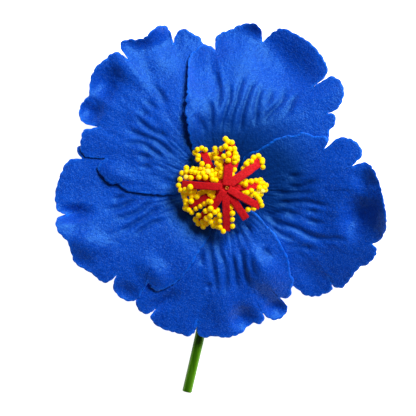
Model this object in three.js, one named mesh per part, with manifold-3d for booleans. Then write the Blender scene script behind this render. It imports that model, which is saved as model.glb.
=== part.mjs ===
// Artificial hibiscus flower with five moulded foam petals, lying face up on the floor.
//
// Frame: millimetres, +Z up out of the flower's face, floor at z = 0. The stem lies on the
// floor and runs towards -Y. The origin is on the floor under the middle of the whole part.
// Inside the file the pieces are drawn about the throat, the point where the petals meet, and
// the group is moved to the origin once, at the end.
//
// Construction: five petals overlap in a ring, each with its counter-clockwise edge on top of
// its neighbour. They are held between a calyx cup below and the stamen column above. A steel
// wire runs up from the stem through the calyx and the column, and a plastic coat covers the
// wire below the flower.

import * as THREE from "three";
import { mergeVertices } from "three/addons/utils/BufferGeometryUtils.js";
import Module from "manifold-3d";

const wasm = await Module();
wasm.setup();

// Driving sizes
const THROAT = { x: 0.3, y: 5.8 }; // throat of the flower from the origin
const FOAM = 1.2; // thickness of a petal
const OVERLAP_RISE = 1.25; // a petal's upper edge above, and its lower edge below, its middle
const CLEARANCE = 0.3; // gap between pieces that touch
const WIRE_RADIUS = 0.5;
const BORE_RADIUS = WIRE_RADIUS + CLEARANCE;
const STEM_RADIUS = 1.5;
const BEAD_RADIUS = 0.93;
const PETAL_ROOT = 2.9; // radius at which the petals start
const STAR = { x: 1.3, y: 0.5, z: 20.4 }; // top of the leaning stamen column

// Detail of the faceted solids
const COLUMN_SPACING = 4.3; // rim length per column of petal facets
const FAN_ROWS = 7;
const RIM_ROWS = 5;

// Height of a petal's middle surface over the floor by distance from the throat
const PETAL_PROFILE = [
  [2.9, 6.9], [4, 7], [5, 7.1], [7, 7.5], [10, 8.3], [15, 9.7],
  [20, 10.5], [25, 10.7], [30, 10.5], [38, 9.9], [50, 9], [58, 8.5],
];

// How far the rim stands over that, or sags under it, by direction in degrees
const RIM_RISE = [
  [-40, -5], [-20, 2], [0, 7.5], [20, 6], [40, 1], [60, -6.2], [80, -9.5], [105, -8.6],
  [130, -3.5], [155, -2], [180, 0], [200, 3], [220, 0], [240, -4.4], [262, -4.8], [285, -8],
  [298, -10.4], [320, -5], [340, 2], [360, 7.5], [380, 6],
];
const RISE_START = 16; // distance from the throat where the rise begins
const RISE_FULL = 49;
const SLIT_RUN = 12; // length over which a slanted slit turns the facets behind it
const SLIT_MOST = 0.13; // the most that it turns them, as a share of the petal's width
const LOBE_LEAST = 0.05; // the least share of the petal's width for a lobe
const FAN_SHARE = 0.84; // of a side edge's length, where the fan ends and the rim's ring begins

// Each petal about the throat. over and under are its two side edges, as [radius, degrees]:
// over lies on the next petal and under is covered. Each lobe of the rim is a row of [x, y]
// points, and a lobe starts in the notch where the one before it ends. edgeLift is how much
// higher the over edge curls. Forms are the humps and dips of the surface, each an oval:
// [x, y, length, width, degrees it is turned by, rise].
const PETALS = [
  {
    name: "petal_top",
    over: [[2.9, 110], [4, 110], [7, 117], [12, 127], [15.6, 125], [18.8, 121.3], [22.2, 117.8],
      [26, 114.9], [30.6, 109.3], [33.7, 107.8]],
    under: [[2.9, 52], [4, 52], [8, 40], [12, 33], [15, 25], [20, 21], [29.4, 20.3]],
    lobes: [
      [[-10.4, 32.1], [-10.2, 35.3], [-10.1, 38.5], [-9.5, 40.5], [-7.9, 42.1], [-6, 43.6],
        [-3.6, 43.2], [-2, 42.1]],
      [[-1.9, 45.3], [-0.4, 47.1], [2.4, 48], [5.1, 49.4], [7.5, 50], [9.9, 49.8], [11.6, 48.3],
        [12.2, 44.4]],
      [[15.6, 47.5], [17.8, 48.5], [21.6, 47.1], [27.3, 43.4], [30.6, 39], [31.6, 36.8],
        [31.3, 34.5], [29.4, 32.6], [27.5, 31]],
      [[30.6, 33], [33, 34.1], [35.5, 32.6], [36.6, 29.7], [35.5, 25.6], [33.9, 23.8],
        [31.4, 23]],
      [[33.5, 22.9], [34.1, 21.4], [33.7, 19.4], [32.2, 17.7], [32, 15], [27.6, 10.2]],
    ],
    edgeLift: 1.5,
    forms: [[19.2, 37.8, 10.8, 7.2, -45, -4.2], [26.1, 44.1, 10.2, 3.9, -45, 1.6]],
  },
  {
    name: "petal_top_left",
    over: [[2.9, 179], [4, 179], [8, 186], [10, 189], [12.4, 186], [16, 185.5], [20, 184.2],
      [24.8, 182]],
    under: [[2.9, 121], [4, 121], [8, 112], [12, 107], [15, 104], [24, 100], [34.8, 98.4],
      [36.9, 97.7]],
    lobes: [
      [[-24.8, -0.9], [-28.8, -0.1], [-31.2, 1.8], [-33.6, 1.9], [-35.7, 4], [-37.3, 6],
        [-37.1, 7.6], [-35.2, 9.5]],
      [[-38.5, 9.6], [-40.5, 9.9], [-42, 11.2], [-42.5, 13.2], [-42.1, 16], [-41.6, 17.9],
        [-39.6, 18.4], [-36.9, 19]],
      [[-39, 19.5], [-40.9, 19.8], [-42.5, 21.3], [-42.9, 23.7], [-41.7, 26.5], [-39.9, 28.3]],
      [[-39.6, 32.1], [-38.9, 34.9], [-37.3, 37.5], [-35.1, 39.1], [-33.2, 40.9],
        [-31.2, 41.3], [-28.2, 39.3]],
      [[-29.4, 41], [-30.5, 43], [-30.2, 44.3], [-28, 45.2], [-25.5, 45.1], [-23.2, 45.8],
        [-19.6, 49], [-17.8, 49.4], [-16.2, 48.6], [-14.5, 44.1]],
      [[-14.1, 45.9], [-13.2, 47.5], [-11.5, 48.4], [-8.7, 46.9], [-6.8, 45.8], [-5.5, 43.5],
        [-5, 36.6]],
    ],
    edgeLift: 0.2,
    forms: [[-36.6, 32.4, 7.2, 5.4, 60, -3], [-30.3, 35.7, 7.8, 3.6, -58, 2],
      [-26.1, 47.4, 6.6, 4.2, 8, 4.6], [-40.5, 23.4, 5.1, 4.2, 40, -2.6],
      [-33.6, 2.1, 10.2, 6, -20, 1.7]],
  },
  {
    name: "petal_left",
    over: [[2.9, 246], [4, 246], [6.5, 254], [8.5, 260], [12.8, 254.5], [14.3, 254.6],
      [19.5, 249.9], [25.3, 247.7]],
    under: [[2.9, 188], [4, 188], [8, 174], [12, 167], [15, 164], [24, 160], [34, 158.5],
      [38.8, 160.6]],
    lobes: [
      [[-9.6, -23.4], [-12.5, -26.6], [-15, -28.5], [-17.7, -29.8], [-19.5, -30.3],
        [-21, -29.4], [-22.1, -27.8]],
      [[-23.6, -30], [-25.3, -32.5], [-27.3, -33.4], [-30.3, -32.4], [-32.4, -30],
        [-32.5, -27.6], [-31.7, -25.7]],
      [[-33.6, -27.3], [-35.4, -27.8], [-39.3, -24.9], [-42.3, -23.2], [-44.3, -21.6],
        [-45.1, -19.2], [-46.4, -15.3]],
      [[-48, -13.8], [-49.2, -12.3], [-49.9, -9.9], [-49.2, -8.3], [-46.2, -7.5]],
      [[-49, -6.5], [-49.8, -4.5], [-50, -1.2], [-49.4, 1.8], [-47.1, 7.5], [-45.4, 9.2],
        [-42, 9.4]],
      [[-43.2, 11.2], [-43.6, 12.5], [-42.6, 13.3], [-40.2, 13.8], [-36.6, 12.9]],
    ],
    edgeLift: 0.2,
    forms: [[-40.2, -15.9, 10.2, 4.8, -10, 1.3], [-29.1, -30.6, 4.8, 4.2, 0, -1.5],
      [-43.8, -8.7, 7.2, 3.9, 0, -2]],
  },
  {
    name: "petal_bottom",
    over: [[2.9, 314], [4, 314], [8, 322], [12, 326], [16.8, 321.7], [20.9, 320.5],
      [25.9, 316]],
    under: [[2.9, 256], [4, 256], [8, 245], [12, 236], [15, 234], [21, 232], [30, 230.5],
      [34.1, 230.7]],
    lobes: [
      [[18.6, -18], [19.9, -20.7], [20.5, -24.9], [21.5, -27.4], [20.8, -29.5], [20.7, -31.5],
        [19.4, -32.5], [17.4, -32.3]],
      [[18.3, -33.4], [19.7, -35.2], [18.6, -37.7], [16.5, -38.9], [14.2, -38.6],
        [12.2, -36.9]],
      [[12.6, -38.7], [11.6, -40.2], [9.5, -39.8]],
      [[7.4, -41.2], [5.8, -42.9], [3.3, -43.9], [0.8, -44.3], [-2.9, -43.8], [-4.8, -44.3],
        [-6.6, -43.8], [-7.5, -42], [-7.3, -39.4]],
      [[-8.2, -42.6], [-9.9, -43.8], [-12.9, -43.1], [-17.8, -41.6], [-20.1, -40.2],
        [-21.4, -38.2], [-19.9, -35.6]],
      [[-21.4, -36.8], [-23.2, -37.1], [-25.2, -35.7], [-25.7, -33], [-21.6, -26.4]],
    ],
    edgeLift: 0.2,
    forms: [[13.2, -24.9, 9.6, 4.8, -45, 2.5], [7.2, -38.4, 3.9, 3.6, 0, -2.2],
      [17.1, -36.6, 3.9, 3.3, 0, -2]],
  },
  {
    name: "petal_right",
    over: [[2.9, 34], [4, 34], [8, 50], [12, 56.7], [16.1, 48.1], [19.9, 44.9], [22.8, 43.5],
      [25.8, 39.9]],
    under: [[2.9, -24], [4, -24], [8, -43], [12, -54], [15, -55], [27, -55.5], [31.6, -56.6]],
    lobes: [
      [[19.8, 16.6], [21.5, 16.1], [22.8, 16.9], [24.9, 17.3], [27.3, 16.3], [30.9, 16],
        [31.8, 14.8], [30.8, 12.4]],
      [[32.9, 13.9], [34.7, 15.6], [37.2, 15.7], [39.7, 14.8], [41.3, 13.2], [42.1, 10.8],
        [38.9, 7]],
      [[41.4, 8.1], [43.2, 8.2], [44.9, 7], [46, 5.1], [47.1, 2.5], [48.9, -5], [49.4, -9.6],
        [48.8, -12.9], [47.1, -15.4], [45.1, -16.2]],
      [[46.4, -17.6], [46.1, -19.5], [43.8, -22.2], [41.3, -23.2], [37.6, -27.8],
        [35.8, -29.4], [33.6, -28.9], [32, -26.1]],
      [[33.1, -29.8], [30.9, -31.1], [28.2, -31.9], [25.2, -31.6], [22.3, -29.5],
        [17.4, -26.4]],
    ],
    edgeLift: 0.2,
    forms: [[41.7, -5.1, 10.8, 5.7, 82, -2.6], [50.7, -4.5, 13.2, 4.2, 86, 3.2],
      [24.3, -25.8, 10.2, 6.6, -30, -1.8]],
  },
];
const RIDGE_HEIGHT = 0.35; // of the grooves that run out from the throat
const RIDGES = 8; // in the width of a petal

// Strips of the stamen column's fringe: direction in degrees, length and width, depth of the
// root under the star's top, fall to the tip, the beads along its left and right side as
// [start, end, rows], one row unless given, and the number of beads at its tip.
const STRIPS = [
  { turn: 84.6, length: 13.2, width: 2.5, down: 0, fall: 2.9, left: [8.5, 12.5], right: [8, 12.5], tip: 1 },
  { turn: 36, length: 12, width: 2.6, down: 0.1, fall: 3.8, left: [5.5, 11.5], right: null, tip: 3 },
  { turn: -32, length: 10.3, width: 2.4, down: 0, fall: 3.6, left: [6.5, 10], right: [7.5, 9.5], tip: 0 },
  { turn: -59, length: 10.3, width: 2.3, down: 0.6, fall: 3.3, left: null, right: [6.5, 8.5], tip: 0 },
  { turn: -91, length: 12.6, width: 2.4, down: 0.3, fall: 4.1, left: [6.5, 12], right: [8.5, 12], tip: 1 },
  { turn: -124, length: 12, width: 2.3, down: 0, fall: 5.4, left: [6.5, 11.5], right: [6, 11.5], tip: 2 },
  { turn: 175.7, length: 12.8, width: 2.4, down: 0, fall: 4.4, left: [5, 12.5], right: [4, 12.5], tip: 2 },
  { turn: 5, length: 9, width: 1.9, down: 2.3, fall: 3.6, left: [4.5, 8.5], right: [5, 9, 2], tip: 2 },
  { turn: 103, length: 11.4, width: 2.2, down: 2.4, fall: 3.5, left: [8, 11], right: [8, 11], tip: 1 },
  { turn: 124, length: 13, width: 2.3, down: 2.2, fall: 4.2, left: [8, 12.5], right: [8, 12.5], tip: 1 },
  { turn: 161, length: 12.3, width: 2.3, down: 2.7, fall: 4.2, left: [6, 12], right: [6, 12], tip: 1 },
  { turn: 206, length: 12, width: 2.3, down: 2.5, fall: 4.5, left: [6, 11.5], right: [6, 11.5], tip: 1 },
  { turn: 229, length: 11, width: 2.2, down: 2.9, fall: 4.5, left: [6, 10.5], right: [6, 10.5], tip: 1 },
  { turn: 64, length: 8.5, width: 2.2, down: 4.1, fall: 2.8, left: null, right: null, tip: 2 },
  { turn: -78, length: 8.5, width: 2.2, down: 4.3, fall: 3.1, left: null, right: null, tip: 2 },
  { turn: -12, length: 8, width: 2.2, down: 4.5, fall: 2.9, left: null, right: null, tip: 2 },
  { turn: 145, length: 8.5, width: 2.2, down: 4.5, fall: 2.9, left: null, right: null, tip: 2 },
];
const STRIP_THICKNESS = 1.3;
const BEAD_PITCH = 1.9; // along a row of beads
const SEED = 20;

// Stamen column: [height over the floor, radius]
const COLUMN = [
  [6.3, 2.5], [8.6, 2.35], [11.8, 2.5], [15.2, 2.9], [18.4, 3.1], [19.5, 2.6],
];
const COLUMN_SIDES = 16;

// Calyx under the petals: [radius, upper surface, lower surface]
const CALYX = [
  [2.2, 5.9, 4.7], [3.2, 5.9, 4.7], [4.2, 5.8, 4.6], [5.2, 5.6, 4.4], [7.2, 5.3, 4.3],
  [9.5, 5.9, 5], [12, 6.4, 5.7],
];
const CALYX_COLUMNS = 30;
const CALYX_ROWS = 6;
const SEPALS = 5;
const SEPAL_NOTCH = 6.4; // radius between two sepals
const SEPAL_TIP = 12;

// Middle line of the stem from the cut end to its top in the calyx
const STEM_LINE = [
  [-10.6, -61.3, 1.5], [-6.6, -43.8, 1.52], [-2.9, -25, 1.54],
  [-0.9, -12, 1.56], [-0.3, -6, 1.6], [0, -2.2, 2.3], [0, -0.4, 4.1], [0, 0, 5.7],
];
const WIRE_TOP = 18.9; // a little below the mouth of the column's bore
const STEM_SIDES = 12;
const STEM_STEPS = 24;
const WIRE_SIDES = 8;
const WIRE_STEPS = 30;

const COLOURS = { petal: 0x1550c0, stamen: 0xd0202c, calyx: 0x2f8a3c, stem: 0x2f9a3e, wire: 0x9a9a98 };

// Smooth curve through a table of [input, output] rows.
function readTable(table, input) {
  const last = table.length - 1;
  const x = Math.min(Math.max(input, table[0][0]), table[last][0]);
  let i = 0;
  while (i < last - 1 && x > table[i + 1][0]) i += 1;
  const span = table[i + 1][0] - table[i][0];
  const slope = (k) => {
    const a = table[Math.max(k - 1, 0)];
    const b = table[Math.min(k + 1, last)];
    return (b[1] - a[1]) / (b[0] - a[0]);
  };
  const t = (x - table[i][0]) / span;
  const bend0 = slope(i) * span;
  const bend1 = slope(i + 1) * span;
  const rise = table[i + 1][1] - table[i][1];
  return table[i][1] + bend0 * t + (3 * rise - 2 * bend0 - bend1) * t * t
    + (bend0 + bend1 - 2 * rise) * t * t * t;
}

// 0 below low, 1 above high, and a soft step between.
function softStep(low, high, value) {
  const t = Math.min(Math.max((value - low) / (high - low), 0), 1);
  return t * t * (3 - 2 * t);
}

function mix(a, b, share) {
  return a + (b - a) * share;
}

function radians(degrees) {
  return (degrees * Math.PI) / 180;
}

// Same random draws at each run.
function seededRandom(seed) {
  let state = seed;
  return () => {
    state = (state * 1664525 + 1013904223) % 4294967296;
    return state / 4294967296;
  };
}

function geometryFrom(positions, triangles) {
  const geometry = new THREE.BufferGeometry();
  geometry.setAttribute("position", new THREE.Float32BufferAttribute(positions, 3));
  geometry.setIndex(triangles);
  return geometry;
}

// Closed sheet with an upper and a lower face over a grid of {x, y, top, bottom} points. Rows
// run outwards and columns run clockwise seen from above. A ring joins its last column to its
// first. Both faces are split into triangles alike.
function sheet(grid, ring = false) {
  const rows = grid.length;
  const columns = grid[0].length;
  const upper = grid.flat().flatMap((p) => [p.x, p.y, p.top]);
  const lower = grid.flat().flatMap((p) => [p.x, p.y, p.bottom]);
  const count = rows * columns;
  const at = (row, column) => row * columns + (column % columns);
  const triangles = [];
  const quad = (a, b, c, d) => triangles.push(a, b, c, a, c, d);
  const spans = ring ? columns : columns - 1;
  for (let r = 0; r < rows - 1; r += 1) {
    for (let c = 0; c < spans; c += 1) {
      const a = at(r, c);
      const b = at(r, c + 1);
      const d = at(r + 1, c);
      const e = at(r + 1, c + 1);
      quad(a, b, e, d);
      triangles.push(count + a, count + e, count + b, count + a, count + d, count + e);
    }
  }
  const wall = (a, b) => quad(b, a, count + a, count + b);
  for (let c = 0; c < spans; c += 1) {
    wall(at(0, c), at(0, c + 1));
    wall(at(rows - 1, c + 1), at(rows - 1, c));
  }
  if (!ring) {
    for (let r = 0; r < rows - 1; r += 1) {
      wall(at(r + 1, 0), at(r, 0));
      wall(at(r, columns - 1), at(r + 1, columns - 1));
    }
  }
  return geometryFrom([...upper, ...lower], triangles);
}

// Height of the whole flower's face at a place, the same for each petal.
function faceHeight(x, y) {
  const radius = Math.hypot(x, y);
  const turn = (Math.atan2(y, x) * 180) / Math.PI;
  const rise = readTable(RIM_RISE, (turn + 360) % 360);
  return readTable(PETAL_PROFILE, radius) + rise * softStep(RISE_START, RISE_FULL, radius);
}

// Share of a petal's width at the fan's end, from 0 at the over edge to 1 at the under edge.
function shareAt(petal, x, y) {
  const over = petal.over[petal.over.length - 1][1];
  const under = petal.under[petal.under.length - 1][1];
  const turn = (Math.atan2(y, x) * 180) / Math.PI;
  const clockwise = ((over - turn + 540) % 360) - 180;
  return clockwise / (over - under);
}

// Share of the width that a notch runs back to: its own, moved to where its slit points.
function notchShare(petal, before, notch, after) {
  const reach = FAN_SHARE * mix(lastRadius(petal.over), lastRadius(petal.under), 0.5);
  const slit = [0, 1].map((k) => (before[k] + after[k]) / 2 - notch[k]);
  const depth = Math.hypot(...slit);
  const plain = shareAt(petal, ...notch);
  let back = [...notch];
  for (let run = 0; Math.hypot(...back) > reach && run < SLIT_RUN; run += 0.5) {
    back = [0, 1].map((k) => notch[k] - (run * slit[k]) / depth);
  }
  const pull = shareAt(petal, ...back) - plain;
  return plain + Math.min(Math.max(pull, -SLIT_MOST), SLIT_MOST);
}

function lastRadius(table) {
  return table[table.length - 1][0];
}

// Points along the rim with the share of the petal's width at which each sits. Each lobe gets
// columns by its length, and a notch is always a column.
function rimPoints(petal) {
  const lobes = petal.lobes.map((lobe, k) => (k ? [petal.lobes[k - 1].at(-1), ...lobe] : lobe));
  const points = [{ x: lobes[0][0][0], y: lobes[0][0][1], share: 0 }];
  let from = 0;
  lobes.forEach((lobe, k) => {
    const next = petal.lobes[k + 1];
    const slant = next ? notchShare(petal, lobe.at(-2), lobe.at(-1), next[0]) : 1;
    const to = Math.max(slant, from + LOBE_LEAST);
    const line = lobe.map(([x, y]) => new THREE.Vector3(x, y, 0));
    const curve = new THREE.CatmullRomCurve3(line, false, "centripetal");
    const steps = Math.max(3, Math.round(curve.getLength() / COLUMN_SPACING));
    for (let i = 1; i <= steps; i += 1) {
      const p = curve.getPointAt(i / steps);
      points.push({ x: p.x, y: p.y, share: mix(from, to, i / steps) });
    }
    from = to;
  });
  return points;
}

// Middle surface of a petal at a place: the common face, the petal's twist, its grooves and
// its forms. What is the petal's own fades out where it lies over or under a neighbour.
function petalHeight(petal, x, y, share) {
  const radius = Math.hypot(x, y);
  const lift = OVERLAP_RISE * softStep(PETAL_ROOT + 0.7, 7.5, radius);
  const curl = petal.edgeLift * (1 - softStep(0, 0.16, share)) * softStep(12, 24, radius);
  const twist = lift * (1 - 2 * softStep(0, 1, share)) + curl;
  const free = softStep(0, 0.26, share) * (1 - softStep(0.72, 0.92, share));
  const reach = softStep(9, 15, radius) * (1 - softStep(28, 38, radius));
  const ridge = RIDGE_HEIGHT * reach * Math.sin(2 * Math.PI * RIDGES * share + 0.6 * Math.sin(radius / 4));
  let forms = 0;
  for (const [formX, formY, length, width, turned, rise] of petal.forms) {
    const cos = Math.cos(radians(turned));
    const sin = Math.sin(radians(turned));
    const along = (x - formX) * cos + (y - formY) * sin;
    const across = (y - formY) * cos - (x - formX) * sin;
    forms += rise * (1 - softStep(0, 1, Math.hypot(along / length, across / width)));
  }
  return faceHeight(x, y) + twist + (0.15 + 0.85 * free) * ridge + free * forms;
}

// A petal: a fan from its root to most of its length, and a ring from there to the rim.
function petalGrid(petal) {
  const rim = rimPoints(petal);
  const overEnd = FAN_SHARE * lastRadius(petal.over);
  const underEnd = FAN_SHARE * lastRadius(petal.under);
  const rows = [];
  for (let r = 0; r <= FAN_ROWS + RIM_ROWS; r += 1) {
    const row = rim.map((edge) => {
      const reach = mix(overEnd, underEnd, edge.share);
      const fan = Math.min(r / FAN_ROWS, 1);
      const radius = mix(PETAL_ROOT, reach, fan ** 1.15);
      const along = (radius - PETAL_ROOT) / (reach - PETAL_ROOT);
      const over = readTable(petal.over, mix(PETAL_ROOT, overEnd, along));
      const under = readTable(petal.under, mix(PETAL_ROOT, underEnd, along));
      const turn = radians(mix(over, under, edge.share));
      const out = Math.max(r - FAN_ROWS, 0) / RIM_ROWS;
      const x = mix(radius * Math.cos(turn), edge.x, out);
      const y = mix(radius * Math.sin(turn), edge.y, out);
      const middle = Math.max(petalHeight(petal, x, y, edge.share), FOAM / 2);
      return { x, y, top: middle + FOAM / 2, bottom: middle - FOAM / 2 };
    });
    rows.push(row);
  }
  return rows;
}

function solidFrom(geometry) {
  const bare = geometry.clone();
  bare.deleteAttribute("normal");
  bare.deleteAttribute("uv");
  const merged = mergeVertices(bare, 1e-4);
  return new wasm.Manifold(new wasm.Mesh({
    numProp: 3,
    vertProperties: merged.attributes.position.array,
    triVerts: new Uint32Array(merged.index.array),
  }));
}

function geometryOf(solid) {
  const mesh = solid.getMesh();
  return geometryFrom(Array.from(mesh.vertProperties), Array.from(mesh.triVerts));
}

// The outer shell of a fused solid, which fills any hollow that the beads seal and drops any
// loose scrap: of its separate shells, the one with the most triangles.
function outerShell(geometry) {
  const index = Array.from(geometry.index.array);
  const leader = Array.from({ length: geometry.attributes.position.count }, (_, i) => i);
  const find = (i) => {
    let top = i;
    while (leader[top] !== top) top = leader[top];
    leader[i] = top;
    return top;
  };
  for (let i = 0; i < index.length; i += 3) {
    leader[find(index[i + 1])] = find(index[i]);
    leader[find(index[i + 2])] = find(index[i]);
  }
  const sizes = new Map();
  for (const vertex of index) sizes.set(find(vertex), (sizes.get(find(vertex)) ?? 0) + 1);
  const largest = [...sizes].sort((a, b) => b[1] - a[1])[0][0];
  const kept = index.filter((vertex) => find(vertex) === largest);
  return geometryFrom(Array.from(geometry.attributes.position.array), kept);
}

// Height of a strip's middle surface at a distance from the column's axis.
function stripHeight(strip, along) {
  const share = along / strip.length;
  return STAR.z - STRIP_THICKNESS / 2 - strip.down - strip.fall * share * share;
}

// A foam strip that stands out from the column, with a rounded tip.
function stripSolid(strip) {
  const stations = [0, 0.3, 0.6, 0.85, 0.95, 1];
  const halfWidths = [1, 1, 1, 1, 0.85, 0.5];
  const turn = radians(strip.turn);
  const grid = stations.map((station, i) => [1, 0, -1].map((side) => {
    const along = station * strip.length;
    const across = (side * halfWidths[i] * strip.width) / 2;
    const middle = stripHeight(strip, along);
    return {
      x: STAR.x + along * Math.cos(turn) - across * Math.sin(turn),
      y: STAR.y + along * Math.sin(turn) + across * Math.cos(turn),
      top: middle + STRIP_THICKNESS / 2,
      bottom: middle - STRIP_THICKNESS / 2,
    };
  }));
  return solidFrom(sheet(grid));
}

// Places of the beads on a strip, in rows along its sides and round its tip.
function beadPlaces(strip, random) {
  const turn = radians(strip.turn);
  const places = [];
  const put = (along, across, drop) => places.push([
    STAR.x + along * Math.cos(turn) - across * Math.sin(turn),
    STAR.y + along * Math.sin(turn) + across * Math.cos(turn),
    stripHeight(strip, along) - drop,
  ]);
  for (const [side, rows] of [[1, strip.left], [-1, strip.right]]) {
    if (!rows) continue;
    const [start, end, count = 1] = rows;
    for (let row = 0; row < count; row += 1) {
      for (let along = start + row * 0.8; along <= end; along += BEAD_PITCH) {
        const across = side * (strip.width / 2 + 0.3 + row * 0.5 + 0.3 * random());
        put(along + 0.3 * random(), across, row * 1.3 - 0.3 + 0.5 * random());
      }
    }
  }
  for (let i = 0; i < strip.tip; i += 1) {
    const across = (i - (strip.tip - 1) / 2) * BEAD_PITCH * 0.85;
    put(strip.length + 0.2, across * 0.8, 0.5 * random());
  }
  return places;
}

// Stamen column with its fringe of strips and beads, fused, and a bore for the wire.
function stamenColumn() {
  const random = seededRandom(SEED);
  const lean = (z) => (z - COLUMN[0][0]) / (STAR.z - COLUMN[0][0]);
  const axisEnd = COLUMN[COLUMN.length - 1][0];
  const profile = [
    new THREE.Vector2(0, COLUMN[0][0]),
    ...COLUMN.map(([z, radius]) => new THREE.Vector2(radius, z)),
    new THREE.Vector2(0, axisEnd),
  ];
  const trunk = new THREE.LatheGeometry(profile, COLUMN_SIDES);
  trunk.rotateX(Math.PI / 2);
  const place = trunk.attributes.position;
  for (let i = 0; i < place.count; i += 1) {
    const share = lean(place.getZ(i));
    place.setXY(i, place.getX(i) + STAR.x * share, place.getY(i) + STAR.y * share);
  }
  let solid = solidFrom(trunk);
  for (const strip of STRIPS) {
    solid = solid.add(stripSolid(strip));
    for (const [x, y, z] of beadPlaces(strip, random)) {
      const bead = new THREE.IcosahedronGeometry(BEAD_RADIUS, 0);
      bead.rotateZ(random() * Math.PI);
      bead.translate(x, y, z);
      solid = solid.add(solidFrom(bead));
    }
  }
  const bore = tubeAlong([[0, 0, 5], [STAR.x, STAR.y, STAR.z], [STAR.x * 1.2, STAR.y * 1.2, 24]],
    BORE_RADIUS, WIRE_SIDES, 6);
  return outerShell(geometryOf(solid.subtract(solidFrom(bore))));
}

// Round bar along a smooth line through points.
function tubeAlong(points, radius, sides, steps) {
  const line = new THREE.CatmullRomCurve3(points.map((p) => new THREE.Vector3(...p)), false, "centripetal");
  const corner = (i) => {
    const turn = ((i + 0.5) * 2 * Math.PI) / sides;
    const reach = radius / Math.cos(Math.PI / sides);
    return new THREE.Vector2(reach * Math.cos(turn), reach * Math.sin(turn));
  };
  const section = new THREE.Shape(Array.from({ length: sides }, (_, i) => corner(i)));
  return new THREE.ExtrudeGeometry(section, { steps, extrudePath: line, bevelEnabled: false });
}

function stemCoat() {
  const outer = solidFrom(tubeAlong(STEM_LINE, STEM_RADIUS, STEM_SIDES, STEM_STEPS));
  const bore = solidFrom(tubeAlong(STEM_LINE, BORE_RADIUS, WIRE_SIDES, STEM_STEPS));
  return geometryOf(outer.subtract(bore));
}

function wire() {
  const share = (WIRE_TOP - COLUMN[0][0]) / (STAR.z - COLUMN[0][0]);
  const top = [STAR.x * share, STAR.y * share, WIRE_TOP];
  return tubeAlong([...STEM_LINE, top], WIRE_RADIUS, WIRE_SIDES, WIRE_STEPS);
}

// Cup that holds the roots of the petals, with five sepals under them.
function calyx() {
  const start = CALYX[0][0];
  const upper = CALYX.map(([radius, top]) => [radius, top]);
  const lower = CALYX.map(([radius, , bottom]) => [radius, bottom]);
  const grid = [];
  for (let r = 0; r <= CALYX_ROWS; r += 1) {
    const row = [];
    for (let c = 0; c < CALYX_COLUMNS; c += 1) {
      const turn = (-2 * Math.PI * c) / CALYX_COLUMNS;
      const wave = Math.abs(Math.cos((SEPALS * turn) / 2));
      const end = mix(SEPAL_NOTCH, SEPAL_TIP, wave);
      const radius = mix(start, end, r / CALYX_ROWS);
      row.push({
        x: radius * Math.cos(turn),
        y: radius * Math.sin(turn),
        top: readTable(upper, radius),
        bottom: readTable(lower, radius),
      });
    }
    grid.push(row);
  }
  return sheet(grid, true);
}

function piece(name, geometry, colour, roughness, metalness = 0) {
  const material = new THREE.MeshStandardMaterial({ color: colour, roughness, metalness });
  const mesh = new THREE.Mesh(geometry, material);
  mesh.name = name;
  return mesh;
}

const flower = new THREE.Group();
for (const petal of PETALS) {
  flower.add(piece(petal.name, sheet(petalGrid(petal)), COLOURS.petal, 0.6));
}
flower.add(piece("stamen_column", stamenColumn(), COLOURS.stamen, 0.7));
flower.add(piece("calyx", calyx(), COLOURS.calyx, 0.5));
flower.add(piece("stem_coat", stemCoat(), COLOURS.stem, 0.3));
flower.add(piece("stem_wire", wire(), COLOURS.wire, 0.4, 1));
flower.position.set(THROAT.x, THROAT.y, 0);

export default flower;
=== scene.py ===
# Artificial hibiscus flower: blue foam petals, a red foam stamen with yellow beads, a green calyx
# and a green plastic stem, lying face up under soft studio light.
#
# The pieces are worked out in millimetres about the throat, where the petals meet, and are
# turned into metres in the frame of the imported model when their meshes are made.
import math
import random

import bmesh
import bpy
import numpy as np
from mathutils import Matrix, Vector


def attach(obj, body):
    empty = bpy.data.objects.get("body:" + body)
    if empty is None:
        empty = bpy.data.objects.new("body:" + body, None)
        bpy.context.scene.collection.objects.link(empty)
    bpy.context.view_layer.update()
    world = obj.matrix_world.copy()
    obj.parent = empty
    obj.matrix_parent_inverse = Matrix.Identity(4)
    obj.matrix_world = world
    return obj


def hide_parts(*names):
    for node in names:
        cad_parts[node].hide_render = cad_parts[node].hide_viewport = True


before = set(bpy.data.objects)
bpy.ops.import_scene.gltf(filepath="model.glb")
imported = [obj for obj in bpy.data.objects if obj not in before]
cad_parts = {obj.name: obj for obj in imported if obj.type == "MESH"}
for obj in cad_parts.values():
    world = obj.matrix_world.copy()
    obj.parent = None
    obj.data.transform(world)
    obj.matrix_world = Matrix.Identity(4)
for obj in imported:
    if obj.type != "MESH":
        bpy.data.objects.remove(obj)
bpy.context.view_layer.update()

MM = 0.001
THROAT = (0.3, 5.8)
FOAM = 1.2  # thickness of a petal, pressed thinner along its edge
FOAM_EDGE = 0.66
THINNED_RUN = 4  # distance from the rim at which a petal has its full thickness
OVERLAP_RISE = 0.56  # half of the step between two petals where they overlap
PETAL_ROOT = 2.9
LANDING = 0.3  # softness of the bend where a petal comes down on the floor
# Distances from the throat over which parts of a petal's shape grow
LIFT_START = (3.6, 7.5)
EDGE_LIFT_START = (13, 21)
FOLDS_START = (9, 13)
# Shares of its width, from its over edge to its under edge, over which they grow or fade
EDGE_LIFT_FADE = (0, 0.16)
FORMS_GROW = (0, 0.26)
FORMS_FADE = (0.77, 0.92)
FOLDS_FADE = (0.75, 0.95)

# The photograph's width in pixels, and the camera over the flower in millimetres
PICTURE = 416
SENSOR = 36
LENS = 201.9
CAMERA = (-3.9, 0.4, 710)
PIXEL = 0.3  # millimetres to a pixel at the height of the rim
PETAL_LEVEL = 10.1  # height at which marks on the petals are read off the photograph

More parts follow.
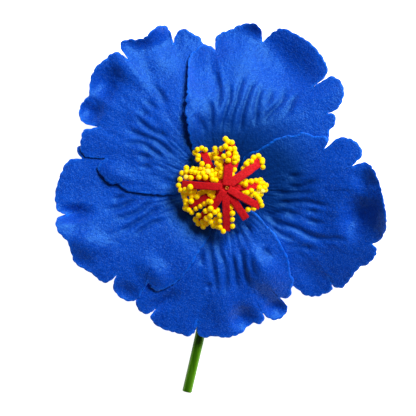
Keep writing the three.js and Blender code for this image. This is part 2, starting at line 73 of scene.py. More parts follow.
# Height of the petals' middle surface over the floor by distance from the throat
PETAL_PROFILE = [
    (2.9, 6.9), (4, 7), (5, 7.1), (7, 7.5), (10, 8.3), (15, 9.7),
    (20, 10.5), (25, 10.7), (30, 10.5), (38, 9.9), (50, 9), (58, 8.5),
]
# How far the rim rises over that by direction in degrees, or sags to the floor
RIM_RISE = [
    (-40, -5), (-20, 2), (0, 7.5), (20, 5.2), (40, 0.6), (60, -5.8), (80, -8.9), (105, -8),
    (130, -3.5), (155, -2), (180, 0), (200, 3.6), (220, 1), (240, -1.8), (262, -2.4), (285, -5),
    (298, -6.8), (312, -6.8), (326, -2.8), (340, 2), (360, 7.5), (380, 5.2),
]
RISE_START = 21
RISE_FULL = 49

# Fine mesh of a petal: a fan of rows out from its root, and then a ring of rows out to the rim
RIM_SPACING = 0.48
FAN_ROWS = 66
FAN_SHARE = 0.84  # how far the fan reaches along the petal's sides
RING_ROWS = 22
RING_END = 0.85  # distance from the rim at which the ring's even rows end
EDGE_STEPS = (0.62, 0.4, 0.22, 0.09, 0.02, 0)  # last rows, by distance from the rim
EDGE_ROUND = 0.6
LEAST_ROUND = math.sqrt(0.004)  # share of its thickness that a petal keeps at the very rim
RIM_DENTS = 0.42  # height of the bumps along the rim, and their length
RIM_DENT_RUN = 2.5
SIDE_DENT_RUN = 2.7
SIDE_REACH = 60  # distance from the throat that a petal's sides stay within
SIDE_DENTS_START = (12, 15)
SIDE_DENTS_SHARE = 0.06
# A notch pulls the mesh towards where its slit points: how far along it, and how much at most
SLIT_RUN = 12
SLIT_MOST = 0.13
LOBE_LEAST = 0.05  # least share of the petal's width in a lobe

# Each petal about the throat. over and under are its side edges, as (radius, degrees): over lies
# on the next petal, lifted by edge_lift, with bumps as high as side_dents, and under is covered.
# Each lobe of the rim is a row of (x, y) points, and it starts in the notch where the one before
# ends. forms are the humps and cups of the foam: column and row in the photograph, reach along and
# across in pixels, turn in degrees, and rise in millimetres. folds are the dark lines of the
# creases, in pixels of the photograph.
PETALS = {}
PETALS["petal_top"] = {
    "edge_lift": 2.1, "side_dents": 0.9,
    "over": [(2.9, 110), (4, 110), (7, 117), (12, 127), (15.6, 125), (18.8, 121.3), (22.2, 117.8),
        (26, 114.9), (30.6, 109.3), (33.7, 107.8)],
    "under": [(2.9, 52), (4, 52), (8, 40), (12, 33), (15, 25), (20, 21), (29.4, 20.3)],
    "lobes": [
        [(-10.4, 32.1), (-10.2, 35.3), (-10.1, 38.5), (-9.5, 40.5), (-7.9, 42.1), (-6, 43.6), (-3.6, 43.2),
         (-2, 42.1)],
        [(-1.9, 45.3), (-0.4, 47.1), (2.4, 48), (5.1, 49.4), (7.5, 50), (9.9, 49.8), (11.6, 48.3),
         (12.2, 44.4)],
        [(15.6, 47.5), (17.8, 48.5), (21.6, 47.1), (27.3, 43.4), (30.6, 39), (31.6, 36.8), (31.3, 34.5),
         (29.4, 32.6), (27.5, 31)],
        [(30.6, 33), (33, 34.1), (35.5, 32.6), (36.6, 29.7), (35.5, 25.6), (33.9, 23.8), (31.4, 23)],
        [(33.5, 22.9), (34.1, 21.4), (33.7, 19.4), (32.2, 17.7), (32, 15), (27.6, 10.2)]],
    "forms": [(283, 68, 48, 36, -45, -2), (314, 38, 60, 44, -45, 2.9), (262, 18, 26, 22, 0, 4),
        (213, 78, 28, 9, -85, -0.8), (232, 58, 44, 28, 0, 1.1)],
    "folds": [
        [(216, 68), (218, 78), (221, 92), (219, 104), (217, 112)],
        [(228, 80), (230, 86), (231, 95), (229, 103), (226, 112), (223, 122), (221, 132)],
        [(245, 75), (242, 83), (239, 92), (238, 100), (235, 108), (232, 116), (229, 126), (228, 134)],
        [(256, 78), (253, 85), (249, 94), (246, 104), (243, 114), (242, 124), (241, 134)],
        [(263, 83), (260, 92), (258, 102), (257, 108), (257, 116), (255, 128)],
        [(272, 84), (271, 90), (270, 100), (266, 108)],
        [(292, 88), (285, 93), (282, 101), (275, 108), (268, 116), (262, 124)],
        [(209, 96), (211, 104), (212, 112), (212, 122), (213, 132)],
        [(194, 112), (199, 118), (203, 126), (206, 134)], [(301, 92), (294, 100), (289, 112), (283, 118)]],
}
PETALS["petal_top_left"] = {
    "edge_lift": 0.3, "side_dents": 0.4,
    "over": [(2.9, 179), (4, 179), (8, 186), (10, 189), (12.4, 186), (16, 185.5), (20, 184.2),
        (24.8, 182)],
    "under": [(2.9, 121), (4, 121), (8, 112), (12, 107), (15, 104), (24, 100), (34.8, 98.4), (36.9, 97.7)],
    "lobes": [
        [(-24.8, -0.9), (-28.8, -0.1), (-31.2, 1.8), (-33.6, 1.9), (-35.7, 4), (-37.3, 6), (-37.1, 7.6),
         (-35.2, 9.5)],
        [(-38.5, 9.6), (-40.5, 9.9), (-42, 11.2), (-42.5, 13.2), (-42.1, 16), (-41.6, 17.9), (-39.6, 18.4),
         (-36.9, 19)],
        [(-39, 19.5), (-40.9, 19.8), (-42.5, 21.3), (-42.9, 23.7), (-41.7, 26.5), (-39.9, 28.3)],
        [(-39.6, 32.1), (-38.9, 34.9), (-37.3, 37.5), (-35.1, 39.1), (-33.2, 40.9), (-31.2, 41.3),
         (-28.2, 39.3)],
        [(-29.4, 41), (-30.5, 43), (-30.2, 44.3), (-28, 45.2), (-25.5, 45.1), (-23.2, 45.8), (-19.6, 49),
         (-17.8, 49.4), (-16.2, 48.6), (-14.5, 44.1)],
        [(-14.1, 45.9), (-13.2, 47.5), (-11.5, 48.4), (-8.7, 46.9), (-6.8, 45.8), (-5.5, 43.5),
         (-5, 36.6)]],
    "forms": [(104, 85, 27, 19, 60, -3.1), (128, 66, 34, 18, -54, 2.1), (146, 27, 32, 25, 12, 5.6),
        (90, 112, 19, 17, 40, -3), (118, 178, 30, 20, -16, 1.2), (166, 184, 10, 8, 0, -0.8),
        (158, 60, 28, 20, 0, 1)],
    "folds": [
        [(152, 82), (158, 88), (163, 95), (166, 103), (168, 109)],
        [(143, 99), (150, 103), (156, 107), (161, 111)], [(141, 109), (146, 113), (150, 116)],
        [(134, 113), (140, 119), (146, 125), (153, 130), (162, 134), (172, 139)],
        [(126, 128), (133, 131), (140, 134), (148, 137), (156, 140), (163, 145), (170, 151), (178, 157)],
        [(124, 147), (130, 144), (137, 142), (145, 144), (152, 149), (159, 154), (168, 160)],
        [(136, 153), (142, 155), (149, 157), (156, 159)], [(139, 166), (147, 166), (156, 168)]],
}
PETALS["petal_left"] = {
    "edge_lift": 0, "side_dents": 0.3,
    "over": [(2.9, 246), (4, 246), (6.5, 254), (8.5, 260), (12.8, 254.5), (14.3, 254.6), (19.5, 249.9),
        (25.3, 247.7)],
    "under": [(2.9, 188), (4, 188), (8, 174), (12, 167), (15, 164), (24, 160), (34, 158.5), (38.8, 160.6)],
    "lobes": [
        [(-9.6, -23.4), (-12.5, -26.6), (-15, -28.5), (-17.7, -29.8), (-19.5, -30.3), (-21, -29.4),
         (-22.1, -27.8)],
        [(-23.6, -30), (-25.3, -32.5), (-27.3, -33.4), (-30.3, -32.4), (-32.4, -30), (-32.5, -27.6),
         (-31.7, -25.7)],
        [(-33.6, -27.3), (-35.4, -27.8), (-39.3, -24.9), (-42.3, -23.2), (-44.3, -21.6), (-45.1, -19.2),
         (-46.4, -15.3)],
        [(-48, -13.8), (-49.2, -12.3), (-49.9, -9.9), (-49.2, -8.3), (-46.2, -7.5)],
        [(-49, -6.5), (-49.8, -4.5), (-50, -1.2), (-49.4, 1.8), (-47.1, 7.5), (-45.4, 9.2), (-42, 9.4)],
        [(-43.2, 11.2), (-43.6, 12.5), (-42.6, 13.3), (-40.2, 13.8), (-36.6, 12.9)]],
    "forms": [(88, 243, 34, 16, -10, 1.3), (46, 230, 34, 32, 0, 3), (125, 292, 16, 14, 0, -1.5),
        (74, 213, 24, 12, 0, -2), (83, 262, 16, 12, -25, -0.9), (153, 271, 27, 18, -40, 1.3)],
    "folds": [
        [(103, 209), (112, 208), (120, 207), (127, 204), (133, 201), (140, 198)],
        [(112, 217), (120, 217), (130, 215), (137, 212), (143, 208), (150, 203), (157, 199)],
        [(117, 234), (123, 230), (131, 226), (137, 222), (144, 219), (150, 214), (156, 209), (162, 203)],
        [(136, 240), (137, 234), (141, 230), (147, 226), (154, 222), (161, 220), (168, 216)],
        [(112, 200), (120, 197), (128, 194)]],
}
PETALS["petal_bottom"] = {
    "edge_lift": 0.2, "side_dents": 0.15,
    "over": [(2.9, 314), (4, 314), (8, 322), (12, 326), (16.8, 321.7), (20.9, 320.5), (25.9, 316)],
    "under": [(2.9, 256), (4, 256), (8, 245), (12, 236), (15, 234), (21, 232), (30, 230.5), (34.1, 230.7)],
    "lobes": [
        [(18.6, -18), (19.9, -20.7), (20.5, -24.9), (21.5, -27.4), (20.8, -29.5), (20.7, -31.5),
         (19.4, -32.5), (17.4, -32.3)],
        [(18.3, -33.4), (19.7, -35.2), (18.6, -37.7), (16.5, -38.9), (14.2, -38.6), (12.2, -36.9)],
        [(12.6, -38.7), (11.6, -40.2), (9.5, -39.8)],
        [(7.4, -41.2), (5.8, -42.9), (3.3, -43.9), (0.8, -44.3), (-2.9, -43.8), (-4.8, -44.3),
         (-6.6, -43.8), (-7.5, -42), (-7.3, -39.4)],
        [(-8.2, -42.6), (-9.9, -43.8), (-12.9, -43.1), (-17.8, -41.6), (-20.1, -40.2), (-21.4, -38.2),
         (-19.9, -35.6)],
        [(-21.4, -36.8), (-23.2, -37.1), (-25.2, -35.7), (-25.7, -33), (-21.6, -26.4)]],
    "forms": [(262, 271, 38, 24, -52, 2.3), (266, 300, 22, 15, -45, -1), (243, 318, 18, 17, 0, -2.1),
        (276, 308, 15, 12, 0, -2), (161, 301, 27, 13, 20, -1.6), (222, 304, 20, 26, 0, 1)],
    "folds": [
        [(203, 247), (202, 258), (203, 268)],
        [(213, 240), (212, 250), (213, 260), (214, 268), (216, 276), (217, 286), (218, 296)],
        [(220, 232), (220, 244), (221, 252), (225, 262), (227, 270), (227, 280), (226, 290), (225, 297)],
        [(232, 250), (234, 260), (235, 268), (236, 275), (238, 284), (241, 292)],
        [(241, 244), (243, 254), (244, 265), (246, 275), (249, 283), (253, 290)],
        [(251, 250), (252, 262), (255, 272), (258, 280)], [(243, 222), (249, 228), (254, 234)],
        [(260, 246), (268, 252), (274, 257)], [(236, 228), (238, 236)], [(209, 280), (210, 290)]],
}
PETALS["petal_right"] = {
    "edge_lift": 0.2, "side_dents": 0.4,
    "over": [(2.9, 34), (4, 34), (8, 50), (12, 56.7), (16.1, 48.1), (19.9, 44.9), (22.8, 43.5),
        (25.8, 39.9)],
    "under": [(2.9, -24), (4, -24), (8, -43), (12, -54), (15, -55), (27, -55.5), (31.6, -56.6)],
    "lobes": [
        [(19.8, 16.6), (21.5, 16.1), (22.8, 16.9), (24.9, 17.3), (27.3, 16.3), (30.9, 16), (31.8, 14.8),
         (30.8, 12.4)],
        [(32.9, 13.9), (34.7, 15.6), (37.2, 15.7), (39.7, 14.8), (41.3, 13.2), (42.1, 10.8), (38.9, 7)],
        [(41.4, 8.1), (43.2, 8.2), (44.9, 7), (46, 5.1), (47.1, 2.5), (48.9, -5), (49.4, -9.6),
         (48.8, -12.9), (47.1, -15.4), (45.1, -16.2)],
        [(46.4, -17.6), (46.1, -19.5), (43.8, -22.2), (41.3, -23.2), (37.6, -27.8), (35.8, -29.4),
         (33.6, -28.9), (32, -26.1)],
        [(33.1, -29.8), (30.9, -31.1), (28.2, -31.9), (25.2, -31.6), (22.3, -29.5), (17.4, -26.4)]],
    "forms": [(357, 214, 35, 22, 80, -3.8), (386, 206, 44, 15, 86, 3.4), (378, 170, 24, 14, -62, 2),
        (363, 183, 17, 13, -60, -1.5), (303, 276, 34, 22, -30, -1.3)],
    "folds": [
        [(283, 172), (290, 175), (298, 175), (305, 172)],
        [(285, 182), (293, 186), (303, 186), (312, 182), (320, 178)],
        [(272, 190), (280, 193), (290, 193), (300, 192), (320, 192)],
        [(275, 202), (290, 202), (303, 201), (313, 202), (322, 204), (332, 205)],
        [(265, 209), (272, 214), (285, 211), (295, 214), (305, 214)], [(305, 210), (315, 211), (322, 213)],
        [(300, 216), (308, 219), (318, 222), (328, 222)],
        [(266, 212), (273, 219), (282, 224), (292, 226), (300, 229), (308, 234), (318, 237), (328, 238),
         (340, 238), (352, 241)],
        [(270, 222), (277, 230), (285, 235), (295, 239), (302, 240)],
        [(282, 240), (290, 245), (300, 246), (312, 248), (320, 252)],
        [(290, 250), (296, 252), (304, 255), (310, 259)]],
}
# Painted shade on the petals about the stamen, heaviest where their inner walls face away from the lamp:
# x, y, reach of the full tint, reach of the last tint, strength
PAINTED_EYE_SHADE = [(8, 7, 7, 26, 0.85), (16, 1, 3, 15, 0.5), (-5, 5, 6, 22, 0.35)]
FOLD_DEPTH = 0.66
FOLD_WIDTH = 0.66
FOLD_SHIFT = (-0.9, 0.7)  # pixels from a crease's dark line to its bottom
FOLD_FADE = 4
FOLD_REACH = 3  # distance from a crease beyond which it isn't felt
# The foam's own unevenness: height, width in degrees and length of the wrinkles that run out from
# the throat, and height and reach of the swell
WRINKLES = [(0.11, 4.2, 7), (0.08, 2.1, 5)]
SWELL = (0.22, 7)

# Foam strips of the stamen: ends in photo pixels, their heights in millimetres, width in pixels
STRIPS = {
    "up": ((227, 186), (230.8, 143.5), 19.8, 16.9, 9.3),
    "upper_right": ((229.6, 184), (259.8, 161.7), 19.7, 15.9, 8.9),
    "right_front": ((228.2, 189), (260, 207), 20, 16.4, 7.6),
    "lower_right": ((228, 191.5), (246.2, 219), 19.2, 15.9, 7.7),
    "down": ((225, 191), (226.5, 231.4), 19.5, 15.4, 7.7),
    "lower_left": ((224.4, 190.4), (203.6, 220), 19.8, 14.8, 7.4),
    "left": ((222.4, 187), (181.8, 184.2), 19.8, 15.4, 7.8),
    "right": ((231, 188.2), (258.4, 185.4), 17.5, 13.9, 7),
    "upper_mid": ((224.4, 180), (218.4, 149.6), 17.4, 13.9, 7.4),
    "upper_left": ((217, 178), (202.8, 151.4), 15.6, 12.9, 7),
    "left_back": ((219, 182), (185, 173.6), 17.1, 12.9, 7.6),
    "left_low": ((221, 191.5), (188.6, 205.9), 17.3, 14.2, 6.8),
    "low_left_back": ((221, 194), (200.4, 220), 16.4, 13.6, 7.2),
    "deep_up": ((228, 180), (236, 160), 15.7, 12.9, 7.4),
    "deep_down": ((227, 196), (232, 216), 15.5, 12.4, 7.4),
    "deep_right": ((232, 190), (253, 194), 15.3, 12.4, 7.4),
    "deep_left": ((221, 184), (203, 171), 15.3, 12.4, 7.4),
}
STRIP_THICKNESS = 1.3
STRIP_END = 0.32  # run over which a strip's end is rounded, and how far its sides come in there
STRIP_SHRINK = 0.3
STRIP_SQUARE = 0.36  # 1 gives a strip an oval section, and less a squarer one

BEAD_RADIUS = 0.86
BEAD_SIZES = (0.94, 1.08)
BEAD_STRETCH = (0.96, 1.04)
BEAD_SEAT = 0.72  # how high a bead's middle stands over its strip, as a share of its radius
# Height of a bead beside its strip over the strip's middle, and its fall for each millimetre further out
BESIDE_RISE = 0.15
BESIDE_FALL = 0.35
# Beads that are paler than the others, and how much
PALE_BEADS = {(258, 191.2): 0.9, (262.6, 190.9): 0.9, (186.2, 177.4): 0.4, (207.9, 171.7): 0.4}
# Beads on each strip, in photo pixels, with a drop in millimetres where they hang lower
BEADS = {
    "up": [(225.5, 138.8), (227.8, 141.6), (231.8, 142.6), (225.2, 146.6), (230, 149.2), (234.2, 149),
        (228.4, 154.2), (235.4, 153.6), (237, 157), (234.6, 158.4), (234.4, 162.4, 0.5), (223.8, 156.5),
        (228.1, 160.5), (221.3, 148.6, 0.3), (236.4, 160.2, 0.3)],
    "upper_right": [(243.4, 168.8, 2.6), (246.4, 164, 0.2), (248.8, 161.8, 1.2), (251.5, 161.4),
        (253.6, 157.6), (258.3, 156), (262.3, 160), (262.2, 162.4), (262.9, 167)],
    "right_front": [(247.9, 209.4, 0.9), (253.6, 208.2, 1.6), (258.8, 198.8, 0.4), (260.4, 201.6, 0.4),
        (261.8, 205.3, 0.4)],
    "down": [(219.7, 215.3, 0.8), (219.9, 221.2, 0.4), (220, 227.2, 0.2), (223.3, 231.4),
        (216, 219.4, 1.8), (216.5, 224, 1.4), (217.6, 226.4, 1), (213.5, 225.8, 1.8), (230.9, 207, 1.6),
        (232.2, 213.4), (232.2, 219.5), (232.4, 226.3)],
    "lower_left": [(210.8, 202), (208.6, 201.6, 1.2), (210.5, 208.6), (205.6, 211), (214.6, 212.3),
        (217.8, 210.4, 0.8), (210.3, 215.5), (206.5, 218.5), (210.6, 221.8)],
    "left": [(178.5, 185.4), (190.2, 187.1, 0.3), (180.4, 190), (185.3, 189.8, 0.3), (190.7, 191.2, 1),
        (194.2, 190.8, 1.6), (179.9, 179.2), (183.7, 193.6, 1.4), (188.5, 193, 2.4), (184.2, 196.8, 1.6),
        (193.6, 193.6, 2.6)],
    "right": [(246, 181.3), (245, 184.4), (251.2, 181.4), (255.8, 180.6), (260.4, 180.1), (260.2, 183.1),
        (263.1, 183.1, 0.3), (266.4, 185.2), (264.5, 187.7), (259.3, 187.8, 0.3), (258, 191.2, 0.5),
        (262.6, 190.9), (265.3, 190.2, 0.4), (260.7, 194.2, 0.6), (251.2, 190.8), (246.6, 192.8),
        (243.9, 192.5, 0.6), (251.2, 195, 0.9), (254.5, 194.2), (256.9, 196.6), (240.9, 182.9, 0.6)],
    "upper_mid": [(215, 148.5), (216, 152.9), (213.6, 154.1, 1), (218.6, 159.6), (221, 161.8),
        (216.8, 163.3), (215.8, 158.4, 0.8), (220.1, 166.2), (222, 169), (217.4, 169.5, 0.5),
        (220.9, 173.2), (221.4, 176.4, 0.4), (209.7, 155.1, 1.4), (209.5, 159.4, 1.6), (212.6, 157, 1.6)],
    "upper_left": [(197.4, 149.6), (201.6, 148.2), (205.3, 149.8), (195.1, 152.7, 0.9), (198.4, 156),
        (197.8, 159.3, 0.3), (202.1, 164), (207.9, 166.7)],
    "left_back": [(186.2, 167.9), (181.9, 173.2), (186.4, 171.9, 0.4), (191.3, 171.4), (194.9, 172.5, 0.3),
        (186.2, 177.4), (190.7, 178), (198.9, 177.4), (202.7, 173.5), (204.4, 169.8, 0.4), (207.9, 171.7),
        (212.2, 171.4, 0.5), (205.4, 177.4), (211.4, 175.8), (215.7, 174.4), (212.5, 179.4),
        (215.7, 180.4, 0.3), (218.7, 177.7, 1.2), (198.8, 173.6, 0.5), (193.2, 168.9, 1.9),
        (197, 169.5, 1.9), (200.6, 168.9, 1.5)],
    "left_low": [(191.8, 196.8), (197, 196.8), (191, 201.3), (185.8, 200.9), (186, 204.4),
        (185.3, 208.2, 0.6), (188.5, 209.6), (191.6, 212.4, 0.5), (195.9, 208.5, 0.4), (200.5, 206, 0.4),
        (204.6, 203.6, 0.6), (199.7, 193.4, 0.6), (202.9, 191.8, 0.6), (207.3, 191.2, 0.4),
        (210, 194.2, 0.6), (213, 191.8, 0.6), (213, 196.8, 0.9)],
    "low_left_back": [(198.6, 215.5), (195.7, 219.6, 0.4), (198.3, 223.6, 0.6), (202.5, 221.9),
        (203.2, 226.4, 0.3), (206.4, 223.6, 0.6)],
    "deep_up": [(234.2, 169.9), (232.2, 175.2), (237, 160)],
}

# Stamen column: height over the floor and radius, leaning to the star's middle
COLUMN = [(6.3, 2.5), (8.6, 2.35), (11.8, 2.5), (15.2, 2.9), (18.4, 3.0), (19.3, 2.4)]
STAR = (1.4, 0.5, 20.4)
EYELET_RADIUS = 0.4
EYELET_LIFT = 0.12

# Calyx under the petals: radius, upper surface, lower surface
CALYX = [
    (2.2, 5.9, 4.7), (3.2, 5.9, 4.7), (4.2, 5.8, 4.6), (5.2, 5.6, 4.4), (7.2, 5.3, 4.3),
    (9.5, 5.9, 5), (12, 6.4, 5.7),
]
CALYX_ROUND = 0.5
SEPALS = 5
SEPAL_NOTCH = 6.4
SEPAL_TIP = 12
VEIN_DEPTH = 0.22

# The studio, in metres: half the floor's width, and its level, a hair under the flower
FLOOR_REACH = 3.0
FLOOR_LEVEL = -0.00005
FLOOR_GLOW = 1.15
DAYLIGHT = 0.06
LIT_SPOT = (0, 0, 0.01)  # what the lamps point at, in metres

# Middle of the stem, from its cut end to the calyx
STEM_LINE = [
    (-10.6, -61.3, 1.5), (-6.6, -43.8, 1.52), (-2.9, -25, 1.54), (-0.9, -12, 1.56),
    (-0.3, -6, 1.6), (0, -2.2, 2.3), (0, -0.4, 4.1), (0, 0, 5.7),
]
STEM_RADIUS = 1.5
BORE_RADIUS = 0.8


def soft_step(low, high, value):
    share = np.clip((value - low) / (high - low), 0, 1)
    return share * share * (3 - 2 * share)


def mix(first, second, share):
    return first + (second - first) * share


def full_turn(count):
    return np.linspace(0, 2 * np.pi, count, endpoint=False)


def quarter_round(share):
    """Height of a quarter circle over its base, from 0 to 1 as share goes from 0 to 1."""
    return np.sqrt(1 - (1 - np.clip(share, 0, 1)) ** 2)


def read_table(table, value, column=1):
    """Smooth curve through a table whose rows start with the input and have an output in a column."""
    rows = np.array(table, float)
    inputs, outputs = rows[:, 0], rows[:, column]
    last = len(inputs) - 1
    here = np.arange(last + 1)
    ahead = np.minimum(here + 1, last)
    behind = np.maximum(here - 1, 0)
    slopes = (outputs[ahead] - outputs[behind]) / (inputs[ahead] - inputs[behind])
    value = np.clip(value, inputs[0], inputs[last])
    i = np.searchsorted(inputs[1:-1], value, side="left")
    span = inputs[i + 1] - inputs[i]
    t = (value - inputs[i]) / span
    bend0 = slopes[i] * span
    bend1 = slopes[i + 1] * span
    rise = outputs[i + 1] - outputs[i]
    return outputs[i] + t * (bend0 + t * (3 * rise - 2 * bend0 - bend1 + t * (bend0 + bend1 - 2 * rise)))


def smooth_line(points, spacing):
    """Points at an even spacing along a rounded curve through points, the ends included."""
    knots = np.array(points, float)
    knots = np.vstack([2 * knots[0] - knots[1], knots, 2 * knots[-1] - knots[-2]])
    share = np.linspace(0, 1, 25)[:, None]
    pieces = []
    for a, b, c, d in zip(knots, knots[1:], knots[2:], knots[3:]):
        gap0, gap1, gap2 = (math.sqrt(max(np.linalg.norm(leap), 1e-6)) for leap in (b - a, c - b, d - c))
        start = ((b - a) / gap0 - (c - a) / (gap0 + gap1) + (c - b) / gap1) * gap1
        end = ((c - b) / gap1 - (d - b) / (gap1 + gap2) + (d - c) / gap2) * gap1
        bend = 3 * (c - b) - 2 * start - end
        curve = b + share * (start + share * (bend + share * (start + end - 2 * (c - b))))
        pieces.append(curve if not pieces else curve[1:])
    dense = np.vstack(pieces)
    run = np.concatenate([[0], np.cumsum(np.linalg.norm(np.diff(dense, axis=0), axis=1))])
    steps = max(1, round(run[-1] / spacing))
    wanted = np.linspace(0, run[-1], steps + 1)
    return np.stack([np.interp(wanted, run, axis) for axis in dense.T], axis=1)


def pixel_width(height):
    return (CAMERA[2] - height) * SENSOR / (LENS * PICTURE)


def spot(column, row, height=PETAL_LEVEL):
    """Place about the throat of a pixel of the photograph, at a height over the floor."""
    x = CAMERA[0] + (column - PICTURE / 2) * pixel_width(height) - THROAT[0]
    y = CAMERA[1] - (row - PICTURE / 2) * pixel_width(height) - THROAT[1]
    return x, y


def to_line(x, y, line):
    """Distance of places from a line of points, and how far along the line the nearest point is."""
    best = np.full(x.shape, 1e9)
    along = np.zeros(x.shape)
    run = 0.0
    for (ax, ay), (bx, by) in zip(line, line[1:]):
        dx, dy = bx - ax, by - ay
        length = math.hypot(dx, dy)
        share = np.clip(((x - ax) * dx + (y - ay) * dy) / (length * length), 0, 1)
        gap = np.hypot(x - ax - share * dx, y - ay - share * dy)
        nearer = gap < best
        best = np.where(nearer, gap, best)
        along = np.where(nearer, run + share * length, along)
        run += length
    return best, along, run


def patchy(u, v, seed):
    """Smooth random field over two coordinates, from -1 to 1, with a value at each whole number."""
    lattice = np.random.default_rng(seed).uniform(-1, 1, (64, 64))
    iu, iv = np.floor(u).astype(int), np.floor(v).astype(int)
    fu, fv = soft_step(0, 1, u - iu), soft_step(0, 1, v - iv)
    at = lambda a, b: lattice[a % 64, b % 64]
    low = mix(at(iu, iv), at(iu + 1, iv), fu)
    high = mix(at(iu, iv + 1), at(iu + 1, iv + 1), fu)
    return mix(low, high, fv)


def face_height(x, y):
    """Height of the whole flower's face, the same for each petal."""
    radius = np.hypot(x, y)
    rise = read_table(RIM_RISE, np.degrees(np.arctan2(y, x)) % 360)
    return read_table(PETAL_PROFILE, radius) + rise * soft_step(RISE_START, RISE_FULL, radius)


def share_at(petal, x, y):
    over, under = petal["over"][-1][1], petal["under"][-1][1]
    turn = math.degrees(math.atan2(y, x))
    return ((over - turn + 540) % 360 - 180) / (over - under)


def notch_share(petal, before, notch, after):
    """Share of the petal's width that a notch runs back to: its own, moved to where its slit points."""
    reach = FAN_SHARE * (petal["over"][-1][0] + petal["under"][-1][0]) / 2
    slit = ((before[0] + after[0]) / 2 - notch[0], (before[1] + after[1]) / 2 - notch[1])
    depth = math.hypot(*slit)
    plain = share_at(petal, *notch)
    back, run = notch, 0.0
    while math.hypot(*back) > reach and run < SLIT_RUN:
        back = (notch[0] - run * slit[0] / depth, notch[1] - run * slit[1] / depth)
        run += 0.5
    pull = share_at(petal, *back) - plain
    return plain + min(max(pull, -SLIT_MOST), SLIT_MOST)


def scallops(run, length, draw, size):
    """Small bumps along an edge, from -0.5 in the dents to 0.5, at places given by run."""
    count = max(1, round(length / size))
    dents = [i + (draw.uniform(-0.3, 0.3) if 0 < i < count else 0) for i in range(count + 1)]
    heights = [draw.uniform(0.45, 1.1) for _ in range(count + 1)]
    place = np.interp(run / length * count, dents, range(count + 1))
    i = np.clip(np.floor(place).astype(int), 0, count - 1)
    bump = np.abs(np.sin(np.pi * (place - i))) ** 0.7 - 0.5
    return bump * np.array(heights)[i]


def rim(petal, draw):
    """Points along the petal's scalloped rim, each with its share of the petal's width."""
    lobes = petal["lobes"]
    points, shares, start = [], [], 0.0
    for k, lobe in enumerate(lobes):
        line = (lobes[k - 1][-1:] if k else []) + lobe
        end = 1.0
        if k + 1 < len(lobes):
            end = max(notch_share(petal, line[-2], line[-1], lobes[k + 1][0]), start + LOBE_LEAST)
        curve = smooth_line(line, RIM_SPACING)
        step = np.gradient(curve, axis=0)
        step /= np.linalg.norm(step, axis=1)[:, None]
        outward = np.stack([-step[:, 1], step[:, 0]], axis=1)
        run = np.linspace(0, 1, len(curve))
        length = RIM_SPACING * (len(curve) - 1)
        hold = soft_step(0, 0.12, run) * (1 - soft_step(0.88, 1, run))
        bumps = RIM_DENTS * scallops(run * length, length, draw, RIM_DENT_RUN) * hold
        curve = curve + outward * bumps[:, None]
        points.append(curve[min(k, 1):])
        shares.append(mix(start, end, run)[min(k, 1):])
        start = end
    return np.vstack(points), np.concatenate(shares)


def petal_rows(petal, draw):
    """Grid of places of a petal, rows outwards and columns clockwise, and each place's share."""
    edge, share = rim(petal, draw)
    over_end, under_end = FAN_SHARE * petal["over"][-1][0], FAN_SHARE * petal["under"][-1][0]
    reach = mix(over_end, under_end, share)
    rows = []
    for along in np.linspace(0, 1, FAN_ROWS + 1):
        radius = mix(PETAL_ROOT, reach, along)
        over = read_table(petal["over"], mix(PETAL_ROOT, over_end, along))
        under = read_table(petal["under"], mix(PETAL_ROOT, under_end, along))
        turn = np.radians(mix(over, under, share))
        rows.append(np.stack([radius * np.cos(turn), radius * np.sin(turn)], axis=1))
    fan_end = rows[-1]
    length = np.linalg.norm(edge - fan_end, axis=1)[:, None]
    outs = [(1 - RING_END / length) * share_out for share_out in np.linspace(0, 1, RING_ROWS + 1)[1:]]
    outs += [1 - gap / length for gap in EDGE_STEPS]
    rows += [fan_end + (edge - fan_end) * out for out in outs]
    x, y = np.moveaxis(np.array(rows), 2, 0)
    radius = np.hypot(x, y)
    over_reach = petal["over"][-1][0]
    side = petal["side_dents"] * scallops(radius, SIDE_REACH, draw, SIDE_DENT_RUN)
    side *= soft_step(*SIDE_DENTS_START, radius) * (1 - soft_step(0, SIDE_DENTS_SHARE, share))
    side *= 1 - soft_step(over_reach - 3, over_reach, radius)
    x = x - side * y / radius
    y = y + side * x / radius
    return x, y, np.broadcast_to(share, x.shape)


def fold_field(petal, x, y):
    """How deep each place lies in the petal's creases, from 0 to about 1."""
    field = np.zeros(x.shape)
    for marks in petal["folds"]:
        line = smooth_line([spot(c + FOLD_SHIFT[0], r + FOLD_SHIFT[1]) for c, r in marks], 0.6)
        near = (x > line[:, 0].min() - FOLD_REACH) & (x < line[:, 0].max() + FOLD_REACH)
        near &= (y > line[:, 1].min() - FOLD_REACH) & (y < line[:, 1].max() + FOLD_REACH)
        gap, along, length = to_line(x[near], y[near], line)
        fade = min(FOLD_FADE, length / 2)
        hold = soft_step(0, fade, along) * soft_step(0, fade, length - along)
        field[near] += np.exp(-0.5 * (gap / FOLD_WIDTH) ** 2) * hold
    return field


